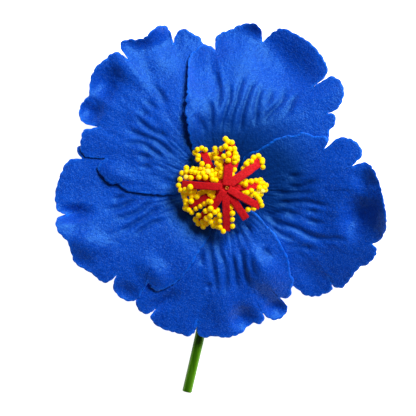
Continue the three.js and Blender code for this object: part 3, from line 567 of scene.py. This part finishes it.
def petal_middle(petal, x, y, share, seed):
    """Middle surface of a petal, never nearer to the floor than the foam allows, and its crease field."""
    radius = np.hypot(x, y)
    twist = OVERLAP_RISE * soft_step(*LIFT_START, radius) * (1 - 2 * soft_step(0, 1, share))
    edge_lift = petal["edge_lift"] * (1 - soft_step(*EDGE_LIFT_FADE, share))
    twist = twist + edge_lift * soft_step(*EDGE_LIFT_START, radius)
    free = soft_step(*FORMS_GROW, share) * (1 - soft_step(*FORMS_FADE, share))
    forms = 0
    for column, row, length, width, turned, rise in petal["forms"]:
        dx, dy = x - spot(column, row)[0], y - spot(column, row)[1]
        cos, sin = math.cos(math.radians(turned)), math.sin(math.radians(turned))
        away = np.hypot((dx * cos + dy * sin) / length, (dy * cos - dx * sin) / width) / PIXEL
        forms = forms + rise * (1 - soft_step(0, 1, away))
    shown = soft_step(*FOLDS_START, radius) * (1 - soft_step(*FOLDS_FADE, share))
    folds = fold_field(petal, x, y)
    turn = np.degrees(np.arctan2(y, x)) % 360
    wrinkles = sum(rise * patchy(turn / width, radius / length, seed + k)
                   for k, (rise, width, length) in enumerate(WRINKLES))
    swell = SWELL[0] * patchy(x / SWELL[1] + 30, y / SWELL[1] + 30, seed + 2)
    height = face_height(x, y) + twist + free * (forms + swell)
    over_floor = height + shown * (wrinkles - FOLD_DEPTH * folds) - FOAM / 2
    return FOAM / 2 + (over_floor + np.sqrt(over_floor ** 2 + LANDING ** 2)) / 2, folds * shown


TURNED_OVER = [0, 3, 2, 1]  # corners of a face in the order that turns it over


def faces_between(rings, ends_meet):
    """Faces that join each ring of points to the next, and where the ends meet the last to the first."""
    count, sides = rings.shape[:2]
    at = np.arange(count * sides).reshape(count, sides)
    here, there = (at, np.roll(at, -1, axis=0)) if ends_meet else (at[:-1], at[1:])
    corners = [here, np.roll(here, -1, axis=1), np.roll(there, -1, axis=1), there]
    return np.stack(corners, axis=-1).reshape(-1, 4)


def tube(rings):
    """Closed shell through rings of points, with a flat cap at each end."""
    rings = np.array(rings)
    count, sides = rings.shape[:2]
    faces = faces_between(rings, False).tolist()
    points = np.vstack([rings.reshape(-1, 3), rings[0].mean(axis=0), rings[-1].mean(axis=0)])
    first, last = count * sides, count * sides + 1
    for i in range(sides):
        j = (i + 1) % sides
        faces.append([first, j, i])
        faces.append([last, first - sides + i, first - sides + j])
    return points, faces


def loop(rings):
    """Closed shell through rings of points, the last ring joined to the first."""
    rings = np.array(rings)
    return rings.reshape(-1, 3), faces_between(rings, True)[:, TURNED_OVER]


def shell(top, bottom):
    """Points and faces of a closed shell between two grids of points with the same rows and columns."""
    rows, columns = top.shape[:2]
    count = rows * columns
    at = np.arange(count).reshape(rows, columns)
    a, b, d, e = at[:-1, :-1], at[:-1, 1:], at[1:, :-1], at[1:, 1:]
    upper = np.stack([a, b, e, d], axis=-1).reshape(-1, 4)
    lower = upper[:, TURNED_OVER] + count
    ring = np.concatenate([at[0, :], at[1:, -1], at[-1, -2::-1], at[-2:0:-1, 0]])
    ahead = np.roll(ring, -1)
    wall = np.stack([ahead, ring, ring + count, ahead + count], axis=-1)
    points = np.vstack([top.reshape(-1, 3), bottom.reshape(-1, 3)])
    return points, np.vstack([upper, lower, wall])


def add_object(name, data):
    thing = bpy.data.objects.new(name, data)
    bpy.context.scene.collection.objects.link(thing)
    return thing


def make_piece(name, points, faces, finish, replaced, marks):
    """Makes a smooth mesh piece from points about the throat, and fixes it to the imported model."""
    mesh = bpy.data.meshes.new(name)
    placed = (np.asarray(points, float) + (THROAT[0], THROAT[1], 0)) * MM
    mesh.from_pydata(placed.tolist(), [], [list(face) for face in faces])
    mesh.validate()
    for mark, values in marks.items():
        layer = mesh.attributes.new(mark, "FLOAT", "POINT")
        layer.data.foreach_set("value", np.asarray(values, np.float32))
    mesh.polygons.foreach_set("use_smooth", [True] * len(mesh.polygons))
    mesh.materials.append(finish)
    piece = add_object(name, mesh)
    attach(piece, "root")
    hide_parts(*replaced)


class Flow:
    """One output of a shader node. Arithmetic on it adds Math nodes to its finish."""

    def __init__(self, finish, socket):
        self.finish = finish
        self.socket = socket

    def math(self, operation, first, second):
        return self.finish.add("ShaderNodeMath", "Value", {"operation": operation}, {0: first, 1: second})

    def __add__(self, other):
        return self.math("ADD", self, other)

    def __radd__(self, other):
        return self.math("ADD", other, self)

    def __mul__(self, other):
        return self.math("MULTIPLY", self, other)

    def __rmul__(self, other):
        return self.math("MULTIPLY", other, self)


class Finish:
    """A material and the shader nodes that make it."""

    def __init__(self, name):
        self.material = bpy.data.materials.new(name)
        self.material.use_nodes = True
        self.tree = self.material.node_tree
        self.tree.nodes.clear()

    def add(self, kind, output, settings, sockets):
        """Adds a node with its settings, then its sockets' values or links, and gives one output.

        A socket given as None is left as it is.
        """
        node = self.tree.nodes.new(kind)
        for key, value in settings.items():
            setattr(node, key, value)
        for key, value in sockets.items():
            if isinstance(value, Flow):
                self.tree.links.new(value.socket, node.inputs[key])
            elif value is not None:
                node.inputs[key].default_value = value
        return Flow(self, node.outputs[output])

    def mark(self, name):
        """A value that the mesh carries at each point."""
        return self.add("ShaderNodeAttribute", "Fac", {"attribute_name": name}, {})

    def noise(self, per_mm, detail=2.0, roughness=0.5, along=1.0):
        """Noise with about per_mm spots to a millimetre, drawn out along Y where along is under 1."""
        metres = self.add("ShaderNodeTexCoord", "Object", {}, {})
        place = self.add("ShaderNodeVectorMath", "Vector", {"operation": "MULTIPLY"},
                         {0: metres, 1: (1 / MM, along / MM, 1 / MM)})
        return self.add("ShaderNodeTexNoise", 0, {},
                        {"Vector": place, "Scale": per_mm, "Detail": detail, "Roughness": roughness})

    def ramp(self, value, low, high):
        """0 below low and 1 above high."""
        return self.add("ShaderNodeMapRange", "Result", {"interpolation_type": "SMOOTHSTEP"},
                        {"Value": value, "From Min": low, "From Max": high})

    def blend(self, share, first, second):
        """Colour between a colour, or a screen colour's red, green and blue, and a screen colour."""
        first = first if isinstance(first, Flow) else paint(*first)
        return self.add("ShaderNodeMix", 2, {"data_type": "RGBA"}, {0: share, 6: first, 7: paint(*second)})

    def bump(self, height, depth, under=None):
        """Small relief; depth is in millimetres for a height of 1."""
        return self.add("ShaderNodeBump", "Normal", {},
                        {"Height": height, "Strength": 1.0, "Distance": depth * MM, "Normal": under})

    def surface(self, body, roughness, relief, others):
        """Ends the finish with its surface, and gives the material."""
        shader = self.add("ShaderNodeBsdfPrincipled", "BSDF", {},
                          {"Base Color": body, "Roughness": roughness, "Normal": relief, **others})
        out = self.tree.nodes.new("ShaderNodeOutputMaterial")
        self.tree.links.new(shader.socket, out.inputs["Surface"])
        return self.material


def paint(red, green, blue):
    """Colour for a shader from the 0 to 255 values of a screen colour."""
    def one(level):
        share = level / 255
        return share / 12.92 if share <= 0.04045 else ((share + 0.055) / 1.055) ** 2.4
    return one(red), one(green), one(blue), 1.0


def blue_foam():
    finish = Finish("petal_foam_blue")
    grain = finish.noise(2.1, 3.0, 0.62)
    glint_fleck = finish.noise(3.8, 1.0)
    mottle = finish.noise(0.85)
    cloud = finish.noise(0.16)
    eye_shade = finish.mark("eye_shade")
    body = finish.blend(finish.ramp(cloud, 0.3, 0.7), (0, 53, 168), (1, 63, 183))
    body = finish.blend(finish.ramp(mottle, 0.35, 0.65) * 0.4, body, (10, 75, 198))
    body = finish.blend(finish.ramp(grain, 0.4, 0.7) * 0.5, body, (19, 89, 218))
    # Pale flecks: partly the foam's grain, partly painted glints of its sparkle.
    body = finish.blend(finish.ramp(glint_fleck, 0.54, 0.74) * 0.21, body, (116, 176, 248))
    # Painted shade about the stamen.
    body = finish.blend(eye_shade * 0.88, body, (0, 41, 113))
    # Painted shade in the creases.
    body = finish.blend(finish.mark("crease_shade") * 0.46, body, (0, 36, 112))
    # Lighter cut edge of the foam along the rim, with a painted highlight on it.
    edge = finish.mark("rim") * finish.ramp(mottle, 0.25, 0.65)
    body = finish.blend(edge * 0.7, body, (14, 110, 246))
    relief = finish.bump(grain, 0.15, finish.bump(mottle, 0.2))
    return finish.surface(body, 0.26 + 0.12 * grain + 0.12 * eye_shade, relief, {
        "Specular IOR Level": 0.34, "Specular Tint": (0.15, 0.62, 1.0, 1.0),
    })


def red_foam():
    finish = Finish("stamen_foam_red")
    fibre = finish.noise(2.2, 4.0, 0.62)
    blotch = finish.noise(0.9, 1.0)
    body = finish.blend(finish.ramp(fibre, 0.35, 0.65), (178, 5, 16), (213, 16, 26))
    body = finish.blend(finish.ramp(blotch, 0.55, 0.75) * 0.3, body, (226, 44, 56))
    return finish.surface(body, 0.62 + 0.15 * fibre, finish.bump(fibre, 0.14), {
        "Specular IOR Level": 0.14, "Sheen Weight": 0.04, "Sheen Roughness": 0.5,
        "Sheen Tint": paint(255, 150, 150),
    })


def yellow_bead():
    finish = Finish("stamen_bead_yellow")
    speck = finish.noise(1.6)
    body = finish.blend(finish.mark("tone"), (254, 213, 0), (254, 230, 0))
    body = finish.blend(finish.ramp(speck, 0.5, 0.8) * 0.2, body, (250, 190, 0))
    body = finish.blend(finish.mark("pale"), body, (252, 244, 120))
    # The faint orange emission is painted light: it lifts the beads' shaded sides in place of light
    # through the plastic.
    return finish.surface(body, 0.3 + 0.12 * speck, finish.bump(speck, 0.03), {
        "Specular IOR Level": 0.34, "Specular Tint": (1.0, 0.75, 0.12, 1.0),
        "Coat Weight": 0.04, "Coat Roughness": 0.3,
        "Emission Color": paint(255, 170, 0), "Emission Strength": 0.1,
    })


def golden_eyelet():
    finish = Finish("stamen_eyelet_golden")
    scratch = finish.noise(6.0)
    body = finish.blend(scratch, (190, 110, 20), (236, 150, 40))
    return finish.surface(body, 0.3 + 0.2 * scratch, None, {"Metallic": 0.35})


def green_stem():
    finish = Finish("stem_plastic_green")
    streak = finish.noise(1.3, 3.0, along=0.08)
    body = finish.blend(finish.ramp(streak, 0.3, 0.7), (38, 86, 0), (54, 106, 4))
    # Painted light: the stem's lit side and its highlight streak.
    body = finish.blend(finish.mark("painted_lit_side") * 0.8, body, (98, 158, 18))
    return finish.surface(body, 0.26 + 0.14 * streak, finish.bump(streak, 0.06), {
        "Specular IOR Level": 0.3, "Specular Tint": (0.8, 1.0, 0.4, 1.0),
        "Coat Weight": 0.06, "Coat Roughness": 0.15,
    })


def green_calyx():
    finish = Finish("calyx_plastic_green")
    cloud = finish.noise(0.5, 3.0)
    grain = finish.noise(5.0)
    body = finish.blend(finish.ramp(cloud, 0.3, 0.7), (30, 104, 34), (66, 146, 58))
    body = finish.blend(finish.mark("vein") * 0.6, body, (120, 182, 88))
    return finish.surface(body, 0.42 + 0.2 * grain, finish.bump(grain, 0.05), {})


def steel_wire():
    finish = Finish("wire_steel_brushed")
    line = finish.noise(6.0, along=0.1)
    body = finish.blend(line, (130, 128, 124), (196, 194, 190))
    return finish.surface(body, 0.3 + 0.25 * line, None, {"Metallic": 1.0})


def make_petals():
    finish = blue_foam()
    for index, (name, petal) in enumerate(PETALS.items()):
        draw = random.Random(100 + index)
        x, y, share = petal_rows(petal, draw)
        middle, folds = petal_middle(petal, x, y, share, 10 * index)
        flat = np.stack([x, y], axis=-1)
        outline = np.concatenate([flat[:, 0], flat[-1, 1:], flat[-2::-1, -1]])
        steps = np.linalg.norm(np.diff(outline, axis=0), axis=1)
        outline = outline[np.concatenate([[True], steps > 1e-4])]
        inset = to_line(x, y, outline)[0]
        closer = (CAMERA[2] - middle) / (CAMERA[2] - PETAL_LEVEL)
        x = (x + THROAT[0] - CAMERA[0]) * closer + CAMERA[0] - THROAT[0]
        y = (y + THROAT[1] - CAMERA[1]) * closer + CAMERA[1] - THROAT[1]
        half = mix(FOAM_EDGE, FOAM, soft_step(0, THINNED_RUN, inset)) / 2
        half *= np.maximum(quarter_round(inset / EDGE_ROUND), LEAST_ROUND)
        top = np.stack([x, y, middle + half], axis=-1)
        bottom = np.stack([x, y, middle - half], axis=-1)
        points, faces = shell(top, bottom)
        # Rim mark: lighter cut edge with a painted highlight.
        edge = 1 - soft_step(0.15, 0.85, inset)
        # Painted shade about the stamen, fading with distance from each spot.
        eye_shade = sum(strength * (1 - soft_step(inner, outer, np.hypot(x - eye_x, y - eye_y)))
                  for eye_x, eye_y, inner, outer, strength in PAINTED_EYE_SHADE)
        # The crease field paints shade into the creases.
        fields = {"crease_shade": folds, "rim": edge, "eye_shade": np.minimum(eye_shade, 1)}
        marks = {mark: np.tile(field.ravel(), 2) for mark, field in fields.items()}
        make_piece("foam_" + name, points, faces, finish, [name], marks)


class Strip:
    """A flat foam strip of the stamen, from its root to its tip."""

    def __init__(self, root, tip, root_height, tip_height, width):
        self.root = np.array([*spot(*root, root_height), root_height])
        self.tip = np.array([*spot(*tip, tip_height), tip_height])
        self.width = width * pixel_width(root_height)
        self.length = float(np.linalg.norm((self.tip - self.root)[:2]))
        self.ahead = (self.tip - self.root)[:2] / self.length
        self.aside = np.array([-self.ahead[1], self.ahead[0]])

    def height(self, along):
        share = along / self.length
        return mix(self.root[2], self.tip[2], share * abs(share))

    def mesh(self, draw):
        """Points and faces of the strip: a rounded bar with blunt ends."""
        ends = (0, 0.06, 0.16, STRIP_END)
        middle = np.linspace(0.6, self.length - 0.6, 26)
        stations = [*ends, *middle, *(self.length - end for end in ends[::-1])]
        roll0, roll1 = math.radians(draw.uniform(-5, 5)), math.radians(draw.uniform(-7, 7))
        sway = draw.uniform(-0.15, 0.15)
        waver = [draw.uniform(-0.05, 0.05) for _ in range(9)]
        turns = full_turn(28) + np.pi / 28
        cos, sin = np.cos(turns), np.sin(turns)
        flat = np.sign(cos) * np.abs(cos) ** STRIP_SQUARE
        thick = np.sign(sin) * np.abs(sin) ** STRIP_SQUARE
        rings = []
        for along in stations:
            share = along / self.length
            shrink = STRIP_SHRINK * (1 - quarter_round(min(along, self.length - along) / STRIP_END))
            half = self.width / 2 + np.interp(share * 8, range(9), waver) - shrink
            rise = STRIP_THICKNESS / 2 - shrink
            roll = mix(roll0, roll1, share)
            across = flat * half * math.cos(roll) - thick * rise * math.sin(roll)
            up = flat * half * math.sin(roll) + thick * rise * math.cos(roll)
            across = across + sway * math.sin(math.pi * share)
            x, y = (self.root[:2] + self.ahead * along)[:, None] + self.aside[:, None] * across
            rings.append(np.column_stack([x, y, self.height(along) + up]))
        return tube(rings)


def gather(shells):
    """Several shells as one list of points and one of faces."""
    points, faces, count = [], [], 0
    for some_points, some_faces in shells:
        points.append(some_points)
        faces += [[v + count for v in face] for face in some_faces]
        count += len(some_points)
    return np.vstack(points), faces


def ball():
    """Points and faces of a round ball of radius 1."""
    work = bmesh.new()
    bmesh.ops.create_icosphere(work, subdivisions=3, radius=1)
    points = np.array([v.co for v in work.verts])
    faces = [[v.index for v in face.verts] for face in work.faces]
    work.free()
    return points, faces


def bead_height(strip, x, y, radius, drop):
    """Height at which a bead rests on a strip or against its side."""
    away = np.array([x, y]) - strip.root[:2]
    along, across = away @ strip.ahead, away @ strip.aside
    middle = strip.height(min(max(along, 0), strip.length))
    outside = max(abs(across) - strip.width / 2, along - strip.length, 0)
    on_top = middle + STRIP_THICKNESS / 2 + BEAD_SEAT * radius
    beside = middle + BESIDE_RISE - BESIDE_FALL * max(outside - radius, 0)
    return mix(on_top, beside, soft_step(0, 0.8 * radius, outside)) - drop


def upright_ring(lean, radius, turn, height):
    """Points about the stamen's middle, which is over the throat at a lean of 0 and at the star at 1."""
    points = np.broadcast_arrays(STAR[0] * lean + radius * np.cos(turn),
                                 STAR[1] * lean + radius * np.sin(turn), height)
    return np.stack(points, axis=1)


def make_stamen():
    draw = random.Random(7)
    strips = {name: Strip(*row) for name, row in STRIPS.items()}
    shells = [strip.mesh(draw) for strip in strips.values()]
    turns = full_turn(40)
    trunk = []
    for z in np.linspace(COLUMN[0][0], COLUMN[-1][0], 40):
        lean = (z - COLUMN[0][0]) / (STAR[2] - COLUMN[0][0])
        ripple = 0.05 * np.sin(5 * turns + 0.4 * z) + 0.03 * np.sin(9 * turns - 0.7 * z)
        trunk.append(upright_ring(lean, read_table(COLUMN, z) * (1 + ripple), turns, z))
    shells.append(tube(trunk))
    points, faces = gather(shells)
    make_piece("stamen_strips", points, faces, red_foam(), ["stamen_column"], {})

    round_points, round_faces = ball()
    beads, tones, pales = [], [], []
    for name, marks in BEADS.items():
        strip = strips[name]
        for mark in marks:
            drop = mark[2] if len(mark) > 2 else 0
            radius = BEAD_RADIUS * draw.uniform(*BEAD_SIZES)
            level = strip.height(strip.length * 0.7)
            x, y = spot(mark[0], mark[1], level - drop)
            z = bead_height(strip, x, y, radius, drop)
            stretch = [radius * draw.uniform(*BEAD_STRETCH) for _ in range(3)]
            beads.append((round_points * stretch + (x, y, z), round_faces))
            tones += [draw.random()] * len(round_points)
            pales += [PALE_BEADS.get(mark[:2], 0.0)] * len(round_points)
    points, faces = gather(beads)
    make_piece("stamen_beads", points, faces, yellow_bead(), ["stamen_column"],
               {"tone": tones, "pale": pales})

    section = full_turn(12)
    radius = EYELET_RADIUS + 0.11 * np.cos(section)
    height = STAR[2] + EYELET_LIFT + 0.14 * np.sin(section)
    points, faces = loop([upright_ring(1, radius, turn, height) for turn in full_turn(32)])
    make_piece("stamen_eyelet", points, faces, golden_eyelet(), ["stamen_column"], {})


def vein(away, radius, width, start, end):
    """A sepal's vein at places away from it, from 0 to 1: it grows over start and fades over end."""
    line = np.exp(-(away * radius / width) ** 2)
    return line * soft_step(*start, radius) * (1 - soft_step(*end, radius))


def make_calyx():
    columns, rows = 200, 40
    turn = -2 * np.pi * np.arange(columns + 1) / columns
    wave = np.abs(np.cos(SEPALS * turn / 2))
    end = mix(SEPAL_NOTCH, SEPAL_TIP, wave)
    steps = 1 - (1 - np.linspace(0, 1, rows + 1)) ** 1.5
    radius = mix(CALYX[0][0], end, steps[:, None])
    top, bottom = read_table(CALYX, radius, 1), read_table(CALYX, radius, 2)
    middle, half = (top + bottom) / 2, (top - bottom) / 2
    gap = (end - radius) * (0.35 + 0.65 * wave)
    half = half * np.maximum(quarter_round(gap / CALYX_ROUND), 0.1)
    away = np.abs((SEPALS * turn / np.pi + 1) % 2 - 1)
    aside = np.abs(away - 0.42 * radius / SEPAL_TIP)
    veins = vein(away, radius, 1.6, (3.5, 6), (9.5, 11.8))
    veins += 0.5 * vein(aside, radius, 1.1, (5, 7), (8.5, 10.5))
    x, y = radius * np.cos(turn), radius * np.sin(turn)
    top_grid = np.stack([x, y, middle + half], axis=-1)
    bottom_grid = np.stack([x, y, middle - half - VEIN_DEPTH * veins], axis=-1)
    points, faces = shell(top_grid, bottom_grid)
    make_piece("calyx_cup", points, faces, green_calyx(), ["calyx"],
               {"vein": np.tile(veins.ravel(), 2)})


def make_stem():
    line = smooth_line(STEM_LINE, 0.45)
    ahead = np.gradient(line, axis=0)
    ahead /= np.linalg.norm(ahead, axis=1)[:, None]
    side = np.cross(ahead, (0, 0, 1.0))
    side[-6:] = side[-7]
    side /= np.linalg.norm(side, axis=1)[:, None]
    up = np.cross(side, ahead)
    turns = full_turn(40)

    def ring(i, radius, push=0.0):
        middle = line[i] + ahead[i] * push
        return middle + radius * (np.outer(np.cos(turns), side[i]) + np.outer(np.sin(turns), up[i]))

    rounding = [(BORE_RADIUS + 0.05, 0.1), (1.1, 0.0), (1.34, 0.06), (1.46, 0.2)]
    rings = [ring(0, radius, push) for radius, push in rounding]
    rings += [ring(i, STEM_RADIUS) for i in range(1, len(line))]
    rings += [ring(i, BORE_RADIUS) for i in range(len(line) - 1, 0, -1)]
    points, faces = loop(rings)
    # Painted light on the stem: its right side lighter, and a painted highlight streak along its left
    # side.
    toward_right = np.tile(np.cos(turns), len(rings))
    painted_streak = 0.7 * np.exp(-((toward_right + 0.7) / 0.16) ** 2)
    painted_lit_side = np.maximum(soft_step(0.1, 0.9, toward_right), painted_streak)
    make_piece("stem_tube", points, faces, green_stem(), ["stem_coat"], {"painted_lit_side": painted_lit_side})


def white_floor():
    white = (0.9, 0.9, 0.9, 1)
    return Finish("floor_white").surface(white, 0.9, None, {
        "Specular IOR Level": 0.1, "Emission Color": white, "Emission Strength": FLOOR_GLOW,
    })


def lamp(name, turn, rise, away, size, power):
    """Soft square light in a direction from the flower in degrees, at a distance in metres."""
    data = bpy.data.lights.new(name, "AREA")
    data.size = size
    data.energy = power
    light = add_object(name, data)
    turn, rise = math.radians(turn), math.radians(rise)
    light.location = (away * math.cos(rise) * math.cos(turn), away * math.cos(rise) * math.sin(turn),
                      away * math.sin(rise))
    light.rotation_euler = (Vector(LIT_SPOT) - light.location).to_track_quat("-Z", "Y").to_euler()


def make_studio():
    scene = bpy.context.scene
    camera = add_object("camera", bpy.data.cameras.new("camera"))
    camera.data.sensor_width = SENSOR
    camera.data.lens = LENS
    camera.data.clip_start = 0.01
    camera.data.clip_end = 20
    camera.location = [value * MM for value in CAMERA]
    bpy.context.scene.camera = camera

    floor = bpy.data.meshes.new("floor")
    signs = [(-1, -1), (1, -1), (1, 1), (-1, 1)]
    corners = [(x * FLOOR_REACH, y * FLOOR_REACH, FLOOR_LEVEL) for x, y in signs]
    floor.from_pydata(corners, [], [(0, 1, 2, 3)])
    floor.materials.append(white_floor())
    ground = add_object("floor", floor)

    lamp("key", turn=51, rise=43, away=2.0, size=0.9, power=59)
    lamp("overhead", turn=120, rise=80, away=1.2, size=0.9, power=0.35)
    world = bpy.data.worlds.new("studio")
    world.use_nodes = True
    daylight = world.node_tree.nodes["Background"].inputs
    daylight["Color"].default_value = (1, 1, 1, 1)
    daylight["Strength"].default_value = DAYLIGHT
    scene.world = world
    scene.view_settings.view_transform = "Standard"


make_studio()
make_petals()
make_stamen()
make_calyx()
make_stem()
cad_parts["stem_wire"].material_slots[0].material = steel_wire()
